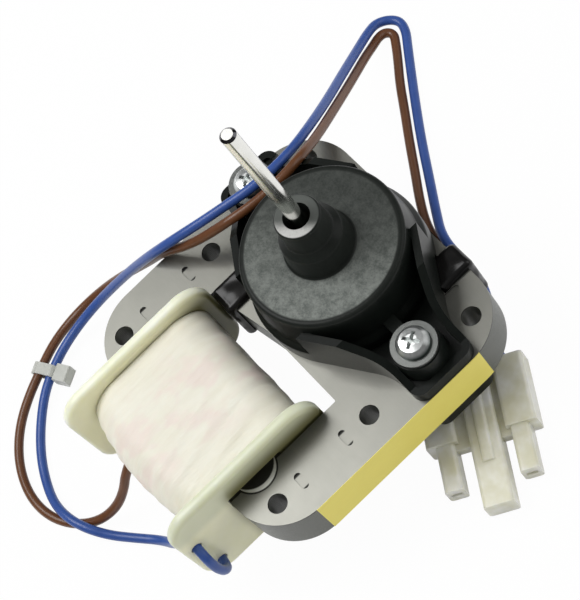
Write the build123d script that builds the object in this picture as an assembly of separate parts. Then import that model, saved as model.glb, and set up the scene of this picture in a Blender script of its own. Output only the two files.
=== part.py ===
from build123d import *
import os
from math import acos, atan2, cos, hypot, pi, radians, sin, tan

# Shaded-pole fan motor: a C-shaped stack of laminations with its coil across the legs, a rotor
# between two moulded shields, and two leads with a plug-in connector.
# Millimetres. The origin is where the shaft axis meets the back face of the rear shield.
# +Z runs along the shaft to its free end, and -Y points to the coil.

# Stack of laminations
stack_width = 63.2
stack_thickness = 10.0
head_reach = 17.0
leg_reach = 45.3
leg_width = 13.6
pole_reach_right = 18.1
pole_reach_left = 19.7
pole_step_from = 3.0
pole_step_to = 12.0
stack_corner_radius = 11.8
window_corner_radius = 0.3

# Holes of the stack: their line inside the edge, and their places along it
hole_inset = 6.6
mount_hole_radius = 2.0
head_hole_inset = 6.1
leg_hole_y = -15.4
foot_hole_inset = 6.3

# Marks of the punched interlocks
interlock_length = 3.75
interlock_width = 1.6
interlock_depth = 0.3
leg_interlocks_y = (-21.5, -32.9)
head_interlock_x = 18.7
head_interlock_inset = 5.5

# Core bar that closes the magnetic circuit between the legs
bar_inner_reach = 32.5
tongue_margin = 1.5
tongue_rise = 0.9
tongue_inset = 1.7
bar_fit = 0.03

# Bobbin
flange_thickness = 2.7
flange_leg_overlap = 0.6
flange_rim_radius = 1.2
flange_corner_radius = 6.0
flange_head_gap = 1.5
flange_overhang = 13.3
flange_front_rise = 8.5
flange_back_rise = 7.8
leg_recess_depth = 1.3
leg_recess_margin = 2.3
leg_end_gap = 0.1
spool_wall = 1.2
spool_clearance = 0.2
lead_hole_radius = 1.2
front_lead_hole_rise = 2.7
front_lead_hole_height = 21.0
back_lead_hole_rise = 4.1
back_lead_hole_height = 10.7

# Winding and the tape around it
winding_side_gap = 0.1
winding_head_inset = 3.4
winding_foot_inset = 5.5
winding_front_inset = 3.4
winding_back_inset = 1.9
winding_crown = 1.1
winding_sag = 2.1
winding_corner_radius = 6.5
tape_thickness = 0.5
tape_gap = 0.03
brown_exit_radius = 1.15
brown_exit_depth = 10.0

# Shields: the moulded bearing covers on both faces of the stack
front_depth = 14.8
rear_depth = 13.5
shield_base_radius = 18.05
shield_base_height = 4.6
skirt_foot_radius = 17.1
skirt_foot_height = 6.2
skirt_top_radius = 16.4
rim_radius = 0.9
base_edge_radius = 1.6
foot_edge_radius = 0.8
cavity_radius = 15.2
roof_thickness = 2.6
rear_wall = 1.0
hub_wall = 1.5
nose_foot_radius = 7.0
nose_shoulder_radius = 6.3
nose_shoulder_height = 20.2
nose_neck_radius = 4.9
nose_neck_height = 21.5
nose_mouth_radius = 4.6
nose_height = 27.7
nose_bore_radius = 2.7
nose_root_radius = 0.7
nose_edge_radius = 0.6
axis_inset = 0.5

# Ears of the shields
ear_inset = 0.1
ear_half_width = 7.2
ear_neck_inset = 1.9
ear_neck_radius = 12.0
ear_corner_radius = 2.5
ear_line_y = -0.6
ear_wall = 1.5
ear_end_height = 3.0
ear_end_length = 2.5
ear_floor = 2.2
front_wall_rise = 12.0
rear_wall_rise = 6.0
boss_foot_radius = 5.3
boss_top_radius = 4.9
front_boss_height = 7.2
rear_boss_height = 6.3
rib_width = 2.6
rib_drop = 0.2
rear_boss_floor = 1.0

# Bearings, felts and the plates that hold them
bush_radius = 3.7
bush_length = 6.6
bush_chamfer = 0.25
front_bush_face = 12.8
rear_bush_face = 5.7
seat_length = 2.6
seat_fit = 0.01
felt_radius = 5.5
felt_fit = 0.1
retainer_thickness = 0.4
retainer_radius = 8.0
retainer_recess = 0.8
retainer_hole_radius = 3.4
shaft_running_clearance = 0.02

# Rotor
shaft_radius = 1.5875
shaft_front_reach = 61.6
shaft_rear_margin = 0.4
shaft_end_gap = 0.5
shaft_chamfer = 0.5
groove_height = 24.0
groove_width = 0.8
groove_depth = 0.4
rotor_radius = 12.65
air_gap = 0.35
press_gap = 0.005
cage_ring_height = 1.5
cage_ring_outer = 12.3
cage_ring_inner = 7.0
cage_bar_radius = 0.9
cage_bar_circle = 11.2
cage_bar_count = 12
cage_bar_fit = 0.02
spacer_radius = 2.8
thrust_washer_radius = 3.1
thrust_washer_thickness = 0.5
end_play = 0.08

# Shading rings on the two pole tips
ring_width = 6.5
ring_leg_gap = 0.3
ring_slot_reach = 10.6
ring_slot_width = 1.6
ring_thickness = 1.35
ring_clearance = 0.1
ring_relief = 0.3
ring_edge_radius = 1.1

# Screws and washers
screw_radius = 1.65
screw_clearance = 0.4
screw_pilot_gap = 0.01
screw_end_margin = 0.3
screw_head_radius = 3.35
screw_head_height = 2.0
screw_head_rim = 0.7
screw_shoulder_radius = 2.45
screw_shoulder_drop = 0.25
screw_flat_radius = 1.2
screw_slot_length = 3.6
screw_slot_width = 0.7
screw_slot_depth = 1.1
screw_slot_turns = (30, 120)
washer_radius = 4.6
washer_thickness = 0.8

# Label on the right-hand edge of the stack
label_thickness = 0.1
label_from = -34.5
label_to = 7.1

# Leads and the tie around them
lead_radius = 1.0
floor_gap = 0.05
arc_share = 0.45
tie_place = (-45.95, -57.1)
tie_turn = 30.0
tie_width = 2.5
tie_band = 0.45
tie_inner = (5.2, 2.4)
tie_corner_margin = 0.05
tie_height = 2.0
tie_head = (3.4, 3.2, 3.6)
tie_head_gap = 0.1
tie_head_rise = 0.2
tie_head_radius = 0.5

# Connector, in its own frame: along to the mating end, across, and up from the surface
connector_turn = -30.0
connector_back = 17.7
body_front = 32.0
pole_front = 41.4
key_front = 46.5
connector_height = 6.5
body_width = 6.3
body_offset = 0.45
pole_width = 3.8
pole_inset = 0.7
left_pole = 7.9
pole_pitch = 15.0
key_width = 6.2
key_back_inset = 3.0
key_inset = 0.6
key_offset = 0.4
ridge_width = 2.6
ridge_back = 8.9
web_thickness = 2.4
web_lip = 1.3
moulding_radius = 0.8
wire_bore_radius = 1.35
wire_bore_inset = 0.5
wire_bore_depth = 5.0
entry_gap = 0.02
mating_slot_width = 2.2
mating_slot_height = 1.2
terminal_width = 1.7
terminal_height = 0.7
blade_inset = 1.0
barrel_radius = 1.15
barrel_length = 3.0

# Cuts run past the material, and members of one piece run into each other, by these lengths
through = 1.0
join = 0.3

# Places that follow from the sizes above
stack_back = rear_depth
stack_front = stack_back + stack_thickness
stack_middle = stack_back + stack_thickness / 2
stack_edge = stack_width / 2
leg_inside = stack_edge - leg_width
hole_x = stack_edge - hole_inset
ring_far = leg_inside - ring_leg_gap
ring_near = ring_far - ring_width
head_hole_y = head_reach - head_hole_inset
foot_hole_y = foot_hole_inset - leg_reach
bore_radius = rotor_radius + air_gap
bar_height = leg_reach - bar_inner_reach
bar_y = bar_height / 2 - leg_reach
tongue_radius = bar_height / 2 - tongue_margin
tongue_y = bar_y + tongue_rise
flange_outside = leg_inside + flange_leg_overlap
flange_inside = flange_outside - flange_thickness
ear_neck = hole_x - ear_neck_inset
flange_top = -(pole_reach_left + flange_head_gap)
flange_bottom = -(leg_reach + flange_overhang)
front_lead_hole = (flange_bottom + front_lead_hole_rise, front_lead_hole_height)
back_lead_hole = (flange_bottom + back_lead_hole_rise, back_lead_hole_height)
front_screw_seat = stack_front + front_boss_height
washer_top = front_screw_seat + washer_thickness
pole_across = (left_pole, left_pole + pole_pitch)
wire_across = (left_pole + wire_bore_inset, left_pole + pole_pitch - wire_bore_inset)


def box(x0, x1, y0, y1, z0, z1):
    """Block between two corners."""
    centre = ((x0 + x1) / 2, (y0 + y1) / 2, (z0 + z1) / 2)
    return Pos(*centre) * Box(x1 - x0, y1 - y0, z1 - z0)


def rod(radius, z0, z1, x=0.0, y=0.0):
    """Upright cylinder between two heights."""
    return Pos(x, y, (z0 + z1) / 2) * Cylinder(radius, z1 - z0)


def tube(outer, inner, z0, z1):
    """Upright ring between two heights."""
    return rod(outer, z0, z1) - rod(inner, z0, z1)


def turned(points, radii=None):
    """Solid of revolution about the shaft axis from an outline of (radius, height)."""
    path = [(r, 0, z) for r, z in points]
    if radii is None:
        outline = Polyline(*path, close=True)
    else:
        outline = FilletPolyline(*path, radius=radii) + Polyline(path[-1], (0, 0, points[-1][1]),
                                                                 (0, 0, points[0][1]), path[0])
    return revolve(make_face(outline), Axis.Z)


def plate(face, z0, z1):
    """Flat outline extruded between two heights."""
    return Pos(0, 0, z0) * extrude(face, z1 - z0)


def pair(piece):
    """The piece and its copy half a turn around the shaft axis."""
    return piece + Rot(0, 0, 180) * piece


def stack_outline(grow=0.0):
    """Outer outline of the stack, grown by a label's thickness where asked."""
    width = stack_width + 2 * grow
    height = head_reach + leg_reach + 2 * grow
    outline = RectangleRounded(width, height, stack_corner_radius + grow)
    return Pos(0, (head_reach - leg_reach) / 2) * outline


def coil_window():
    """Opening between the legs, open at the legs' ends, with the stepped pole edge."""
    low = -leg_reach - through
    edge = Polyline(
        (-leg_inside, low), (leg_inside, low), (leg_inside, -pole_reach_right),
        (-pole_step_from, -pole_reach_right), (-pole_step_to, -pole_reach_left),
        (-leg_inside, -pole_reach_left), close=True)
    face = make_face(edge)
    corner_side = (pole_step_to + leg_inside) / 2
    inner = [v for v in face.vertices() if v.Y > low / 2 and abs(v.X) > corner_side]
    return fillet(inner, window_corner_radius)


def tongues(grow=0.0):
    """Round tongues at the core bar's ends, or their sockets in the legs."""
    x = leg_inside - tongue_inset
    return [Pos(side * x, tongue_y) * Circle(tongue_radius + grow) for side in (-1, 1)]


def interlock_places():
    """Place and turn of each punched interlock mark."""
    places = [(side * hole_x, y, 0) for side in (-1, 1) for y in leg_interlocks_y]
    head_y = head_reach - head_interlock_inset
    return places + [(side * head_interlock_x, head_y, 90) for side in (-1, 1)]


def interlock(z0, z1, x, y, turn):
    """Cut of one interlock mark, with round ends."""
    return plate(Pos(x, y) * Rot(0, 0, turn) * SlotOverall(interlock_length, interlock_width), z0, z1)


def ring_slot(edge_side):
    """Slot near the bore through which a shading ring passes the stack."""
    low = ring_slot_reach
    return Rot(0, 0, edge_side) * box(ring_near - ring_clearance, ring_far + ring_clearance,
                                      low, low + ring_slot_width, stack_back - through,
                                      stack_front + through)


def stator_stack():
    """C-shaped lamination stack with bore, sockets, mounting and screw holes."""
    outline = stack_outline() - coil_window() - Circle(bore_radius)
    for socket in tongues(bar_fit):
        outline -= socket
    for y in (head_hole_y, ear_line_y, leg_hole_y, foot_hole_y):
        for side in (-1, 1):
            outline -= Pos(side * hole_x, y) * Circle(mount_hole_radius)
    stack = plate(outline, stack_back, stack_front)
    stack -= ring_slot(0)
    stack -= ring_slot(180)
    for x, y, turn in interlock_places():
        stack -= interlock(stack_front - interlock_depth, stack_front + through, x, y, turn)
        stack -= interlock(stack_back - through, stack_back + interlock_depth, x, y, turn)
    return stack


def core_bar():
    """Bar across the coil, with a round tongue in each leg."""
    half = leg_inside - bar_fit
    outline = Pos(0, bar_y) * Rectangle(2 * half, bar_height)
    for tongue in tongues():
        outline += tongue
    return plate(outline, stack_back, stack_front)


def flange(side):
    """One bobbin flange with rounded rim, leg recess and lead holes."""
    back = stack_back - flange_back_rise
    front = stack_front + flange_front_rise
    size = (flange_top - flange_bottom, front - back)
    centre = (0, (flange_top + flange_bottom) / 2, (front + back) / 2)
    outline = Rot(0, 90, 90) * RectangleRounded(size[0], size[1], flange_corner_radius)
    low_x = flange_inside if side > 0 else -flange_outside
    body = Pos(low_x, centre[1], centre[2]) * extrude(outline, flange_thickness, dir=(1, 0, 0))
    rims = body.edges().filter_by_position(Axis.X, low_x - 0.01, low_x + 0.01)
    rims += body.edges().filter_by_position(Axis.X, low_x + flange_thickness - 0.01,
                                            low_x + flange_thickness + 0.01)
    body = fillet(rims, flange_rim_radius)
    recess = box(flange_outside - leg_recess_depth, flange_outside + through, -leg_reach - leg_end_gap,
                 flange_top + through, stack_back - leg_recess_margin, stack_front + leg_recess_margin)
    return body - (recess if side > 0 else mirror(recess, Plane.YZ))


def bobbin():
    """Nylon bobbin: rectangular spool around the core bar between two flanges."""
    hole = (bar_height / 2 + spool_clearance, stack_thickness / 2 + spool_clearance)
    half = flange_inside + join
    spool = box(-half, half, bar_y - hole[0] - spool_wall, bar_y + hole[0] + spool_wall,
                stack_middle - hole[1] - spool_wall, stack_middle + hole[1] + spool_wall)
    body = spool + flange(1) + flange(-1)
    body -= box(-stack_edge, stack_edge, bar_y - hole[0], bar_y + hole[0],
                stack_middle - hole[1], stack_middle + hole[1])
    for y, z in (front_lead_hole, back_lead_hole):
        body -= Pos(flange_outside, y, z) * Rot(0, 90, 0) * Cylinder(lead_hole_radius, 4 * flange_thickness)
    return body


def coil_block(grow, length):
    """Crowned block with rounded corners that fills the winding space, for coil and tape."""
    sections = []
    for share in (-1, 0, 1):
        middle = 1 - abs(share)
        crown = winding_crown * middle + grow
        top = flange_top - winding_head_inset + grow
        bottom = flange_bottom + winding_foot_inset - winding_sag * middle - grow
        front = stack_front + flange_front_rise - winding_front_inset + crown
        back = stack_back - flange_back_rise + winding_back_inset - grow
        face = Rot(0, 90, 90) * RectangleRounded(top - bottom, front - back, winding_corner_radius + grow)
        sections.append(Pos(share * length / 2, (top + bottom) / 2, (front + back) / 2) * face)
    return loft(sections)


def brown_exit():
    """Short bore under the tape where the second lead comes out of the coil."""
    start = Vector(*brown_points[0])
    along = Vector(*brown_points[1]) - start
    plane = Plane(origin=start, z_dir=along)
    return plane * Pos(0, 0, brown_exit_depth / 2) * Cylinder(brown_exit_radius, brown_exit_depth)


def spool_space():
    """Space that the spool takes out of the winding."""
    hole = (bar_height / 2 + spool_clearance, stack_thickness / 2 + spool_clearance)
    wall = spool_wall + tape_gap
    return box(-stack_edge, stack_edge, bar_y - hole[0] - wall, bar_y + hole[0] + wall,
               stack_middle - hole[1] - wall, stack_middle + hole[1] + wall)


def coil_winding():
    """Copper winding around the spool."""
    length = 2 * (flange_inside - winding_side_gap)
    return coil_block(0.0, length) - spool_space() - brown_exit()


def coil_tape():
    """Wrap of tape around the winding."""
    length = 2 * (flange_inside - winding_side_gap)
    return coil_block(tape_thickness, length) - coil_block(tape_gap, length + through) - brown_exit()


def shield_shell(depth, nose):
    """Turned outside of a shield, from the stack's face outwards, with or without a nose."""
    points = [(shield_base_radius, 0), (shield_base_radius, shield_base_height),
              (skirt_foot_radius, skirt_foot_height), (skirt_top_radius, depth)]
    radii = [base_edge_radius, foot_edge_radius, rim_radius]
    if nose:
        points += [(nose_foot_radius, depth), (nose_shoulder_radius, nose_shoulder_height),
                   (nose_neck_radius, nose_neck_height), (nose_mouth_radius, nose_height)]
        radii += [nose_root_radius, nose_edge_radius, nose_edge_radius, nose_edge_radius]
    points.append((axis_inset, points[-1][1]))
    return turned(points, radii)


def shield_cavity(depth, bush_face, roof, end_radius, end_height):
    """Turned inside of a shield: rotor space, retainer recess, felt chamber and bush seat."""
    chamber = bush_face + bush_length - seat_length
    seat_end = bush_face + bush_length
    hub_face = bush_face - retainer_recess
    seat = bush_radius + seat_fit
    return turned([
        (0, -through), (cavity_radius, -through), (cavity_radius, depth - roof),
        (retainer_radius + hub_wall, depth - roof), (retainer_radius + hub_wall, hub_face),
        (retainer_radius + felt_fit, hub_face), (retainer_radius + felt_fit, bush_face),
        (felt_radius + felt_fit, bush_face), (felt_radius + felt_fit, chamber), (seat, chamber),
        (seat, seat_end), (end_radius, seat_end), (end_radius, end_height), (0, end_height)])


def ear_outline():
    """Flat outline of one ear: straight walls off the skirt, closing to a rounded end."""
    end = stack_edge - ear_inset
    reach = hypot(ear_neck, ear_half_width)
    turn = acos(shield_base_radius / reach) + atan2(ear_half_width, ear_neck)
    foot = (shield_base_radius * cos(turn), shield_base_radius * sin(turn))
    half = [foot, (ear_neck, ear_half_width), (end, ear_half_width)]
    mirrored = [(x, -y) for x, y in reversed(half)]
    face = make_face(Polyline(*half, *mirrored, close=True))
    corners = face.vertices().group_by(Axis.X)[-1]
    face = fillet(corners, ear_corner_radius)
    necks = [v for v in face.vertices() if abs(v.X - ear_neck) < 0.01]
    return fillet(necks, ear_neck_radius)


def ear(wall_rise, boss_height):
    """One ear on the +X side: sloping walls round a pocket, a screw boss and its rib."""
    end = stack_edge - ear_inset
    outline = ear_outline()
    start = outline.bounding_box().min.X
    slope_from = skirt_top_radius
    side = make_face(Polyline(
        (start, 0, 0), (end, 0, 0), (end, 0, ear_end_height), (end - ear_end_length, 0, ear_end_height),
        (slope_from, 0, wall_rise), (start, 0, wall_rise), close=True))
    block = extrude(outline, wall_rise) & extrude(side, 2 * shield_base_radius, both=True)
    pocket = plate(offset(outline, -ear_wall), ear_floor, wall_rise + through)
    boss = Pos(hole_x, ear_line_y, boss_height / 2) * Cone(boss_foot_radius, boss_top_radius, boss_height)
    rib = box(start, hole_x - boss_top_radius + join, ear_line_y - rib_width / 2,
              ear_line_y + rib_width / 2, 0, boss_height - rib_drop)
    return block - pocket + boss + rib


def both_ears(wall_rise, boss_height):
    """Ear on the +X side and its mirror image."""
    right = ear(wall_rise, boss_height)
    return right + mirror(right, Plane.YZ)


def ring_relief_cut():
    """Relief under a shield's foot for the shading rings, up to their height."""
    reach = ring_thickness + ring_clearance + ring_relief
    low = ring_slot_reach - ring_relief
    cut = box(ring_near - ring_relief, ring_far + ring_relief, low, shield_base_radius + through,
              -through, reach)
    return pair(cut)


def front_shield():
    """Front shield: base ring, skirt, disc and nose in one moulding with two ears."""
    body = shield_shell(front_depth, True) + both_ears(front_wall_rise, front_boss_height)
    body -= shield_cavity(front_depth, front_bush_face, roof_thickness, nose_bore_radius,
                          nose_height + through)
    for side in (-1, 1):
        body -= rod(screw_radius + screw_clearance, -through, front_boss_height + through, side * hole_x,
                    ear_line_y)
    body -= ring_relief_cut()
    return Pos(0, 0, stack_front) * body


def rear_shield():
    """Rear shield: the same foot, skirt and ears, with a closed flat back."""
    body = shield_shell(rear_depth, False) + both_ears(rear_wall_rise, rear_boss_height)
    end = rear_depth - rear_wall
    body -= shield_cavity(rear_depth, rear_bush_face, roof_thickness, shaft_radius + shaft_end_gap, end)
    for side in (-1, 1):
        body -= rod(screw_radius + screw_pilot_gap, -through, rear_boss_height - rear_boss_floor,
                    side * hole_x, ear_line_y)
    body -= ring_relief_cut()
    return Pos(0, 0, stack_back) * mirror(body, Plane.XY)


def at_front(piece):
    """Bearing piece placed in the front shield from its frame at the bush's inner face."""
    return Pos(0, 0, stack_front + front_bush_face) * piece


def at_rear(piece):
    """Bearing piece placed in the rear shield from its frame at the bush's inner face."""
    return Pos(0, 0, stack_back - rear_bush_face) * mirror(piece, Plane.XY)


def bearing():
    """Sintered bush, from its inner face outwards."""
    bush = tube(bush_radius, shaft_radius + shaft_running_clearance, 0, bush_length)
    outer = bush.edges().filter_by(GeomType.CIRCLE).sort_by(SortBy.RADIUS)[-2:]
    return chamfer(outer, bush_chamfer)


def oil_felt():
    """Felt ring around the bush, held in its chamber."""
    return tube(felt_radius, bush_radius + felt_fit, felt_fit / 2, bush_length - seat_length - felt_fit)


def bearing_retainer():
    """Sheet plate that holds the bush and the felt in the hub."""
    return tube(retainer_radius, retainer_hole_radius, -retainer_thickness - felt_fit / 2, -felt_fit / 2)


def thrust_washer():
    """Washer between the bush's inner face and the spacer."""
    bore = shaft_radius + shaft_running_clearance
    return tube(thrust_washer_radius, bore, -thrust_washer_thickness - end_play / 2, -end_play / 2)


def spacer(bush_face):
    """Sleeve on the shaft between the thrust washer and the rotor core."""
    top = -thrust_washer_thickness - end_play
    return tube(spacer_radius, shaft_radius + press_gap, top - (bush_face + top), top)


def rotor_core():
    """Laminated rotor core with holes for the cage bars."""
    core = tube(rotor_radius, shaft_radius + press_gap, stack_back, stack_front)
    for place in PolarLocations(cage_bar_circle, cage_bar_count):
        core -= place * rod(cage_bar_radius + cage_bar_fit, stack_back, stack_front)
    return core


def rotor_cage():
    """Cast cage: two end rings joined by the bars through the core."""
    cage = tube(cage_ring_outer, cage_ring_inner, stack_front, stack_front + cage_ring_height)
    cage += tube(cage_ring_outer, cage_ring_inner, stack_back - cage_ring_height, stack_back)
    for place in PolarLocations(cage_bar_circle, cage_bar_count):
        cage += place * rod(cage_bar_radius, stack_back - join, stack_front + join)
    return cage


def shaft():
    """Rotor shaft with a groove inside the nose and a chamfered free end."""
    low = stack_back - rear_bush_face - bush_length + shaft_rear_margin
    top = stack_front + shaft_front_reach
    groove = stack_front + groove_height
    neck = shaft_radius - groove_depth
    return turned([
        (0, low), (shaft_radius - shaft_chamfer, low), (shaft_radius, low + shaft_chamfer),
        (shaft_radius, groove), (neck, groove), (neck, groove + groove_width),
        (shaft_radius, groove + groove_width), (shaft_radius, top - shaft_chamfer),
        (shaft_radius - shaft_chamfer, top), (0, top)])


def shading_ring(pole_reach):
    """Closed copper band around a pole tip, through its slot and over the stack's edge."""
    gap = ring_clearance
    thick = ring_thickness
    low = ring_slot_reach + gap
    high = pole_reach + gap + thick
    back = stack_back - gap - thick
    front = stack_front + gap + thick
    band = box(ring_near, ring_far, low, high, back, front)
    crowns = band.edges().filter_by(Axis.X).group_by(Axis.Y)[-1]
    band = fillet(crowns, ring_thickness)
    band = fillet(band.edges().group_by(Axis.X)[-1] + band.edges().group_by(Axis.X)[0], ring_edge_radius)
    inside = ring_slot_reach + ring_slot_width - gap
    hole = box(ring_near - through, ring_far + through, inside, pole_reach + gap, stack_back - gap,
               stack_front + gap)
    return band - hole


def screw():
    """Pan-head cross-recess screw through front boss and stack into the rear boss."""
    end = stack_back - rear_boss_height + rear_boss_floor + screw_end_margin
    top = washer_top + screw_head_height
    head = turned([
        (0, washer_top), (screw_head_radius, washer_top), (screw_head_radius, washer_top + screw_head_rim),
        (screw_shoulder_radius, top - screw_shoulder_drop), (screw_flat_radius, top), (0, top)])
    body = head + rod(screw_radius, end, washer_top)
    for turn in screw_slot_turns:
        slot = box(-screw_slot_length / 2, screw_slot_length / 2, -screw_slot_width / 2,
                   screw_slot_width / 2, top - screw_slot_depth, top + through)
        body -= Rot(0, 0, turn) * slot
    return body


def shield_screws():
    """Both shield screws."""
    return [Pos(side * hole_x, ear_line_y, 0) * screw() for side in (-1, 1)]


def screw_washers():
    """Flat washer under each screw head."""
    ring = tube(washer_radius, screw_radius + screw_clearance / 2, front_screw_seat, washer_top)
    return [Pos(side * hole_x, ear_line_y, 0) * ring for side in (-1, 1)]


def edge_label():
    """Label wrapped along the stack's right-hand edge."""
    band = stack_outline(label_thickness) - stack_outline()
    strip = plate(band, stack_back, stack_front)
    return strip & box(stack_edge / 2, stack_edge + through, label_from, label_to, stack_back, stack_front)


def in_connector(piece):
    """Piece moved from the connector's own frame to its place."""
    return Rot(0, 0, connector_turn) * piece


def wire_entry(across, depth):
    """Point on the wire bore's axis, depth inside the connector's back face."""
    turn = radians(connector_turn)
    along = connector_back + depth
    return (along * cos(turn) - across * sin(turn), along * sin(turn) + across * cos(turn),
            connector_height / 2)


def rounded_bar(from_along, to_along, centre, width, low, high):
    """Straight bar of the housing with rounded long edges."""
    bar = box(from_along, to_along, centre - width / 2, centre + width / 2, low, high)
    return fillet(bar.edges().filter_by(Axis.X), moulding_radius)


def connector_housing():
    """Two-pole housing: body, a sleeve for each terminal, and a long key between them."""
    top = connector_height
    middle = top / 2
    key_y = left_pole + pole_pitch / 2 + key_offset
    body = box(connector_back, body_front + web_lip, left_pole, left_pole + pole_pitch,
               middle - web_thickness / 2, middle + web_thickness / 2)
    for side, across in zip((-1, 1), pole_across):
        outwards = across + side * body_offset
        body += rounded_bar(connector_back, body_front, outwards, body_width, 0, top)
        body += rounded_bar(body_front - join, pole_front, across, pole_width, pole_inset, top - pole_inset)
    body += rounded_bar(connector_back + key_back_inset, key_front, key_y, key_width, key_inset,
                        top - key_inset)
    body += rounded_bar(connector_back + key_back_inset, key_front - ridge_back, key_y, ridge_width,
                        middle, top)
    for across, wire in zip(pole_across, wire_across):
        bore = Pos(connector_back + wire_bore_depth / 2, wire, middle) * Rot(0, 90, 0)
        body -= bore * Cylinder(wire_bore_radius, wire_bore_depth)
        body -= box(connector_back + wire_bore_depth - join, pole_front + through,
                    across - mating_slot_width / 2, across + mating_slot_width / 2,
                    middle - mating_slot_height / 2, middle + mating_slot_height / 2)
    return in_connector(body)


def connector_terminals():
    """Crimp terminal in each sleeve, with its blade in the mating slot."""
    middle = connector_height / 2
    along = connector_back + wire_bore_depth
    pieces = []
    for across, wire in zip(pole_across, wire_across):
        barrel = Pos(along - barrel_length / 2, wire, middle) * Rot(0, 90, 0)
        barrel *= Cylinder(barrel_radius, barrel_length)
        blade = box(along - join, pole_front - blade_inset, across - terminal_width / 2,
                    across + terminal_width / 2, middle - terminal_height / 2,
                    middle + terminal_height / 2)
        pieces.append(in_connector(barrel + blade))
    return pieces


# Route of each lead: from the coil along the floor, over the left leg and round to its terminal
floor = lead_radius + floor_gap
entry_depth = wire_bore_depth - barrel_length - entry_gap

blue_points = [
    (16.1, -54.5, 10.7), (20.4, -54.6, 10.8), (22.0, -55.3, 12.8), (22.3, -55.9, 15.6),
    (21.9, -56.0, 18.6), (20.5, -55.9, 21.0), (12.0, -55.9, 21.0), (9.8, -58.6, 12.6),
    (6.2, -60.0, 4.4), (1.3, -62.0, floor), (-3.2, -65.7, floor), (-7.3, -69.1, 1.6),
    (-11.4, -71.7, 3.2), (-16.2, -73.2, 3.4), (-21.4, -73.5, 2.1), (-26.4, -72.4, floor),
    (-31.2, -70.2, floor), (-35.6, -67.3, floor), (-39.4, -63.8, 1.4), (-42.4, -60.2, 1.9),
    (-44.8, -56.3, 2.0), (-46.9, -51.5, 2.2), (-47.7, -45.4, 3.4), (-46.6, -39.1, 6.2),
    (-42.9, -33.6, 11.9), (-38.3, -29.0, 18.5), (-33.4, -25.1, 25.1), (-29.7, -21.2, 29.5),
    (-27.3, -16.9, 31.6), (-25.2, -12.1, 33.0), (-23.4, -7.0, 34.1), (-21.9, -2.2, 34.8),
    (-21.4, 3.2, 34.9), (-22.6, 9.2, 33.4), (-26.8, 15.2, 28.6), (-33.5, 22.2, 20.8),
    (-40.8, 29.5, 13.0), (-46.3, 35.6, 7.2), (-49.5, 39.8, 4.2), (-51.1, 42.7, 2.3),
    (-50.3, 45.3, 1.3), (-48.1, 46.8, floor), (-45.3, 46.0, floor), (-42.6, 44.1, floor),
    (-38.4, 41.2, floor),
    (-31.6, 36.6, floor), (-23.6, 31.4, floor), (-15.8, 26.8, 1.1), (-9.0, 22.9, 1.9),
    (-3.0, 19.7, 2.8), (3.6, 19.2, 3.1), (9.5, 18.9, 2.9), (14.6, 16.9, 2.6),
    (17.9, 13.8, 2.3), (20.3, 10.6, 2.4), wire_entry(wire_across[1], -1.0),
    wire_entry(wire_across[1], entry_depth)]

brown_points = [
    (-9.1, -54.3, 15.0), (-9.0, -57.8, 12.0), (-8.7, -60.3, 8.6), (-9.0, -63.8, 5.2),
    (-10.7, -67.9, 2.5), (-13.5, -71.6, 1.1), (-17.2, -74.6, floor), (-21.8, -76.3, floor),
    (-27.0, -76.5, floor), (-32.3, -75.1, floor), (-37.2, -72.4, floor), (-41.4, -68.5, 1.2),
    (-44.4, -63.6, 1.8), (-47.1, -57.9, 2.0), (-49.8, -52.7, 1.5), (-51.3, -47.2, 1.1),
    (-51.0, -41.5, 2.1), (-48.6, -36.4, 5.2), (-45.2, -32.2, 9.1), (-40.9, -28.7, 14.0),
    (-36.0, -25.4, 19.8), (-31.2, -22.0, 25.8), (-26.7, -18.2, 28.8), (-23.2, -14.0, 31.6),
    (-20.0, -9.4, 34.9), (-18.7, -4.7, 35.4), (-18.2, -0.2, 35.4), (-18.1, 4.5, 35.7),
    (-18.9, 9.2, 35.3), (-23.6, 14.6, 29.0), (-31.2, 21.9, 20.2), (-39.2, 29.7, 11.2),
    (-44.7, 35.7, 5.6), (-47.0, 38.8, 3.1), (-48.4, 41.0, 1.9), (-48.5, 42.9, 1.3),
    (-46.9, 43.9, floor), (-44.9, 42.7, floor), (-41.4, 40.3, floor), (-37.0, 37.0, floor),
    (-31.4, 33.5, floor),
    (-25.3, 29.5, floor), (-18.8, 25.5, floor), (-13.2, 21.9, floor), (-7.8, 19.2, floor),
    (-1.7, 18.1, floor), (4.5, 17.8, floor), (10.5, 15.6, 1.3), (15.2, 11.2, 2.2),
    (18.1, 5.6, 2.9), wire_entry(wire_across[0], -1.0), wire_entry(wire_across[0], entry_depth)]


def lead_radii(points):
    """Largest arc that fits the two runs at each corner of a route."""
    radii = []
    for before, corner, after in zip(points, points[1:], points[2:]):
        run_in = Vector(*corner) - Vector(*before)
        run_out = Vector(*after) - Vector(*corner)
        half_turn = radians(run_in.get_angle(run_out)) / 2
        radii.append(arc_share * min(run_in.length, run_out.length) / tan(half_turn))
    return radii


def lead(points, name):
    """One insulated lead along its route."""
    radii = lead_radii(points)
    path = FilletPolyline(*points, radius=radii)
    section = Plane(origin=path @ 0, z_dir=path % 0) * Circle(lead_radius)
    solid = sweep(section, path)
    print(name, "length %.1f" % path.length, "radii", " ".join("%.1f" % r for r in radii))
    print(name, "volume share %.4f" % (solid.volume / (pi * lead_radius ** 2 * path.length)))
    return solid


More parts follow.
